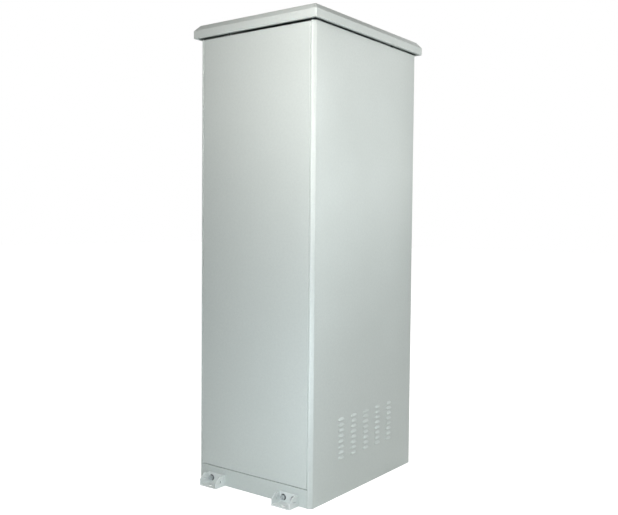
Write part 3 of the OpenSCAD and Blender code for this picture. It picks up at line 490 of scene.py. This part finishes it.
def turned(outline, steps):
    """A solid turned about Z from its (radius, height) outline, drawn from the axis out and back to it."""
    mesh = bmesh.new()
    verts = [mesh.verts.new((r, 0, z)) for r, z in outline]
    for one, other in zip(verts, verts[1:]):
        mesh.edges.new((one, other))
    if outline[0][0] > 0:
        mesh.edges.new((verts[-1], verts[0]))
    bmesh.ops.spin(mesh, geom=list(mesh.verts) + list(mesh.edges), cent=(0, 0, 0), axis=(0, 0, 1),
                   angle=math.tau, steps=steps, use_merge=True)
    bmesh.ops.remove_doubles(mesh, verts=mesh.verts, dist=0.002 * mm)
    bmesh.ops.recalc_face_normals(mesh, faces=list(mesh.faces))
    return mesh


def ring(inner, outer, low_z, high_z, edge):
    """A flat ring with its four edges cut off at 45 degrees."""
    corners = ((inner, low_z, 1, 1), (outer, low_z, -1, 1), (outer, high_z, -1, -1), (inner, high_z, 1, -1))
    outline = []
    for r, z, out, up in corners:
        legs = [(r, z + up * edge), (r + out * edge, z)]
        outline += legs if (out > 0) == (up > 0) else legs[::-1]
    return turned(outline, 40)


def hexagon_head(across, height):
    """A bolt head on z = 0: its six corners are cut back by the usual 30 degree cone."""
    mesh = bmesh.new()
    rim = bmesh.ops.create_circle(mesh, cap_ends=True, segments=48, radius=across / 2)["verts"]
    for vert in rim:
        turn = math.atan2(vert.co.y, vert.co.x) % (math.pi / 3) - math.pi / 6
        vert.co = vert.co / math.cos(turn)
    bottom = mesh.faces[:]
    lifted = bmesh.ops.extrude_face_region(mesh, geom=bottom)["geom"]
    top = next(item for item in lifted if isinstance(item, bmesh.types.BMFace))
    for vert in top.verts:
        vert.co.z = height - (vert.co.xy.length - across / 2 * 0.96) * math.tan(math.radians(30))
    bmesh.ops.inset_individual(mesh, faces=[top], thickness=0.1 * mm)
    for vert in top.verts:
        vert.co = (vert.co.xy.normalized() * across / 2 * 0.95).to_3d() + Vector((0, 0, height))
    bmesh.ops.inset_individual(mesh, faces=[top], thickness=across * 0.08, depth=-0.25 * mm)
    bmesh.ops.recalc_face_normals(mesh, faces=list(mesh.faces))
    return mesh


def threaded_shank(length):
    """A shank below z = 0 whose last stretch carries its thread."""
    r = bolt_shank / 2
    plain_length = length - thread_length
    outline = [(0, 0), (r, 0), (r, -plain_length)]
    for i in range(int(thread_length / thread_pitch)):
        z = -plain_length - i * thread_pitch
        outline += [(r - thread_depth, z - thread_pitch * 0.45), (r, z - thread_pitch * 0.9)]
    outline += [(r - thread_depth, -length), (0, -length)]
    return turned(outline, 24)


def joined(parts):
    """One mesh from several, each carried to its place by a matrix."""
    whole = bmesh.new()
    for part, place in parts:
        bmesh.ops.transform(part, matrix=place, verts=part.verts)
        data = bpy.data.meshes.new("part")
        part.to_mesh(data)
        part.free()
        whole.from_mesh(data)
        bpy.data.meshes.remove(data)
    return whole


bolts, washers, shade_rings = [], [], []
for low, high in solids("bracket_bolts"):
    rear = low.y < 0
    axis_x, axis_z = (low.x + high.x) / 2, (low.z + high.z) / 2
    tip = high.y if rear else low.y
    head_root = (low.y + bolt_head) if rear else (high.y - bolt_head)
    turn = Matrix.Rotation(math.radians(90 if rear else -90), 4, "X")
    place = Matrix.Translation((axis_x, head_root, axis_z)) @ turn
    bolts.append((hexagon_head(bolt_across, bolt_head), place))
    bolts.append((threaded_shank(abs(tip - head_root)), place))
    washer = ring(bolt_shank / 2 + washer_clearance, washer_across / 2, -washer_thick - shade_ring_thick, -shade_ring_thick,
                  0.3 * mm)
    washers.append((washer, place))
    # a dark ring under the head, as painted shade
    shade_rings.append((ring(bolt_shank / 2 + shade_ring_clearance, shade_ring_across / 2, -shade_ring_thick, 0, 0.35 * mm), place))
for name, parts, slot, nodes in (
    ("hexagon_bolts", bolts, "zinc_fasteners", ["bracket_bolts"]),
    ("plain_washers", washers, "zinc_fasteners", ["bracket_washers"]),
    ("dark_shade_rings", shade_rings, "gasket_rubber", []),
):
    mesh = joined(parts)
    smooth_faces(mesh)
    piece(name, mesh, "cabinet", slot, *nodes)


# ---- brackets: weld beads down the inside corners of the gussets ----

bracket_sheet = 4 * mm
bead_radius, bead_step = 1.7 * mm, 1.8 * mm
weld_stop_top, weld_stop_toe = 4 * mm, 6 * mm    # how far a weld stops short of a gusset's two free ends


def copies(template, places):
    """One mesh of many copies of a small one, each carried to its place by a matrix."""
    data = bpy.data.meshes.new("template")
    template.to_mesh(data)
    template.free()
    whole = bmesh.new()
    for place in places:
        data.transform(place)
        whole.from_mesh(data)
        data.transform(place.inverted())
    bpy.data.meshes.remove(data)
    for face in whole.faces:
        face.smooth = True
    return whole


def small_ball(around, rings):
    """A ball of radius 1 with few faces, to be squashed and repeated."""
    mesh = bmesh.new()
    bmesh.ops.create_uvsphere(mesh, u_segments=around, v_segments=rings, radius=1)
    return mesh


def weld_run(start, end):
    """The places of the overlapping weld ripples along an inside corner."""
    along = end - start
    count = round(along.length / bead_step)
    squash = Matrix.Diagonal((bead_radius, bead_radius, bead_step, 1))
    turn = along.to_track_quat("Z", "Y").to_matrix().to_4x4() @ squash
    return [Matrix.Translation(start + along * i / count) @ turn for i in range(count + 1)]


ripples = []
for node in brackets:
    low, high = (Vector(corner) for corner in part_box(node))
    out = -1 if low.y < 0 else 1
    plate = (high.y if out < 0 else low.y) + out * bracket_sheet
    toe = (low.y if out < 0 else high.y) - out * weld_stop_toe
    for x in (low.x + bracket_sheet, high.x - bracket_sheet):
        foot = Vector((x, plate, low.z + bracket_sheet))
        ripples += weld_run(foot, Vector((x, plate, high.z - weld_stop_top)))
        ripples += weld_run(foot, Vector((x, toe, low.z + bracket_sheet)))
welds = piece("bracket_welds", copies(small_ball(8, 5), ripples), "cabinet", "powder_coat")
# The welds take the brackets' lighter copy of the coat, which paints light on them.
welds.data.materials[0] = bracket_lit_coat


# ---- swing handle: moulded finger ribs across the grip ----

rib_count, rib_first, rib_pitch = 9, 52 * mm, 6 * mm
rib = Matrix.Diagonal((8.5 * mm, 0.9 * mm, 1.4 * mm, 1))
low, high = (Vector(corner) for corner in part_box("swing_handle"))
rib_heights = [low.z + rib_first + rib_pitch * i for i in range(rib_count)]
ribs = [Matrix.Translation(((low.x + high.x) / 2, high.y, z)) @ rib for z in rib_heights]
piece("grip_ribs", copies(small_ball(16, 10), ribs), body_of["swing_handle"], "black_plastic")


# ---- filter mats: loose fleece held behind the louvres ----

mat_divisions = ((1, 60), (2, 28))    # axis and count
long_lumps, short_lumps = per_metre(14), per_metre(5)


def fleece_mat(node):
    """A mat with soft edges and an uneven, fibrous face, inside its CAD solid."""
    low, high = (Vector(corner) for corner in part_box(node))
    size = high - low
    mesh = bmesh.new()
    bmesh.ops.create_cube(mesh, size=1)
    bmesh.ops.scale(mesh, vec=size, verts=mesh.verts)
    bmesh.ops.bevel(mesh, geom=list(mesh.edges), affect="EDGES", offset=5 * mm, segments=3, profile=0.5,
                    material=-1)
    for axis, count in mat_divisions:
        for i in range(1, count):
            point, normal = Vector(), Vector()
            point[axis] = size[axis] * (i / count - 0.5)
            normal[axis] = 1
            whole = list(mesh.verts) + list(mesh.edges) + list(mesh.faces)
            bmesh.ops.bisect_plane(mesh, geom=whole, plane_co=point, plane_no=normal, dist=1e-6)
    bmesh.ops.recalc_face_normals(mesh, faces=list(mesh.faces))
    mesh.normal_update()
    for vert in mesh.verts:
        dip = 0.6 * mm * (1 + noise.noise(vert.co * long_lumps))
        dip += 0.3 * mm * (1 + noise.noise(vert.co * short_lumps))
        vert.co -= vert.normal * dip
    bmesh.ops.translate(mesh, verts=mesh.verts, vec=(low + high) / 2)
    for face in mesh.faces:
        face.smooth = True
    return mesh


for side in ("left", "right"):
    mat = side + "_filter_mat"
    piece(side + "_fleece_mat", fleece_mat(mat), "cabinet", "filter_fleece", mat)

# The rack rails and the fan guard stay as they are in the CAD and take their finish here.
for node, made in frame["nodes"].items():
    if not made.hide_render:
        made.data.materials.clear()
        made.data.materials.append(finish[slot_of[node]])


# ---- floor, light and camera ----

low, high = (Vector(corner) for corner in cad_box)
centre = (low + high) / 2


def floor_sheet(name, drop, colour_one, colour_two, glow):
    """A square of the studio floor, drop below the ground; glow is what it gives off itself."""
    bpy.ops.mesh.primitive_plane_add(size=60, location=(0, 0, low.z - drop))
    made = bpy.context.object
    made.name = name
    paint, tree, place = new_material(name + "_paint")
    mottle = add(tree, "TexNoise", {"Vector": place, "Scale": per_metre(600), "Detail": 2})
    tone = blend_colours(tree, mottle.outputs["Fac"], colour_one, colour_two)
    finish_material(tree, tone, 0.9, Emission_Color=(1, 1, 1, 1), Emission_Strength=glow)
    made.data.materials.append(paint)
    return made


# The floor that is seen is pale and evenly lit; the one that throws light back up is never seen itself.
seen_floor = floor_sheet("pale_floor", 0.5 * mm, "#8A8A89", "#8E8E8D", 1.06)
seen_floor.visible_diffuse = seen_floor.visible_glossy = False
bounce_floor = floor_sheet("bounce_floor", 0.3 * mm, "#F2F2F1", "#F6F6F5", 0)
bounce_floor.visible_camera = bounce_floor.visible_shadow = False

world = bpy.data.worlds.new("studio")
scene.world = world
world.use_nodes = True
tree = world.node_tree
tree.nodes.clear()
seen = add(tree, "LightPath").outputs["Is Camera Ray"]
soft = add(tree, "Background", {"Color": (1, 1, 1, 1), "Strength": 0.12})
white = add(tree, "Background", {"Color": (1, 1, 1, 1), "Strength": 1.0})
either = add(tree, "MixShader", {0: seen, 1: soft.outputs[0], 2: white.outputs[0]})
add(tree, "OutputWorld", {"Surface": either.outputs[0]})

# Warm lamps stand high and cool ones low, as daylight and its bounce do.
warm, plain, fresh, cool = (linear(colour)[:3] for colour in ("#FFFAF8", "#FFFFFF", "#F5FAFC", "#F0F8FF"))

# name, place in metres, side of the square lamp in metres, power in watts, colour
for name, place, size, power, colour in (
    ("right_softbox", (3.8, 3.5, 1.5), 2.5, 51, fresh),
    ("high_right_softbox", (3.2, 3.2, 4.5), 2.5, 27, warm),
    ("right_strip", (1.6, 0.2, 1.9), 0.6, 4.6, warm),
    ("far_right_strip_high", (1.2, 1.6, 2.2), 0.5, 1.7, warm),
    ("far_right_strip_middle", (1.2, 1.6, 1.45), 0.6, 1.4, warm),
    ("rear_strip_high", (0.5, -1.3, 2.4), 0.6, 4.5, warm),
    ("rear_strip_top", (0.5, -1.3, 2.0), 0.6, 10.5, warm),
    ("rear_left_strip", (-0.9, -1.5, 1.85), 0.6, 0.6, warm),
    ("chamfer_strip_top", (1.1, -0.98, 1.9), 0.2, 0.5, warm),
    ("chamfer_strip_high", (1.1, -0.98, 1.6), 0.2, 0.8, warm),
    ("chamfer_strip_middle", (1.1, -0.98, 1.3), 0.2, 1.4, plain),
    ("close_strip_middle", (0.42, -1.0, 1.4), 0.45, 1.2, plain),
    ("corner_strip_foot", (0.85, -1.08, 0.5), 0.6, 3.6, cool),
    ("plinth_strip", (0.3, -1.5, 0.12), 0.3, 5.0, cool),
    ("left_softbox", (-3.6, 1.2, 2.6), 2.5, 45, plain),
    ("door_softbox", (-0.8, 4.2, 2.8), 2.5, 60, plain),
):
    lamp = bpy.data.lights.new(name, "AREA")
    lamp.shape = "SQUARE"
    lamp.size = size
    lamp.energy = power
    lamp.color = colour
    holder = bpy.data.objects.new(name, lamp)
    holder.location = place
    holder.visible_camera = False
    holder.rotation_euler = (centre - Vector(place)).to_track_quat("-Z", "Y").to_euler()
    scene.collection.objects.link(holder)

camera_place = (2.0439, -2.7683, 1.1013)
camera_roll = math.radians(0.52)
ahead = Vector((-0.595, 0.8026, -0.0425)).normalized()
level = ahead.cross(Vector((0, 0, 1))).normalized()
turn = Matrix((level, level.cross(ahead), -ahead)).transposed().to_4x4()
lens = bpy.data.cameras.new("camera")
lens.sensor_width = 36
lens.lens = 45.17
camera = bpy.data.objects.new("camera", lens)
camera.matrix_world = Matrix.Translation(camera_place) @ turn @ Matrix.Rotation(camera_roll, 4, "Z")
scene.collection.objects.link(camera)
scene.camera = camera
scene.view_settings.view_transform = "Standard"
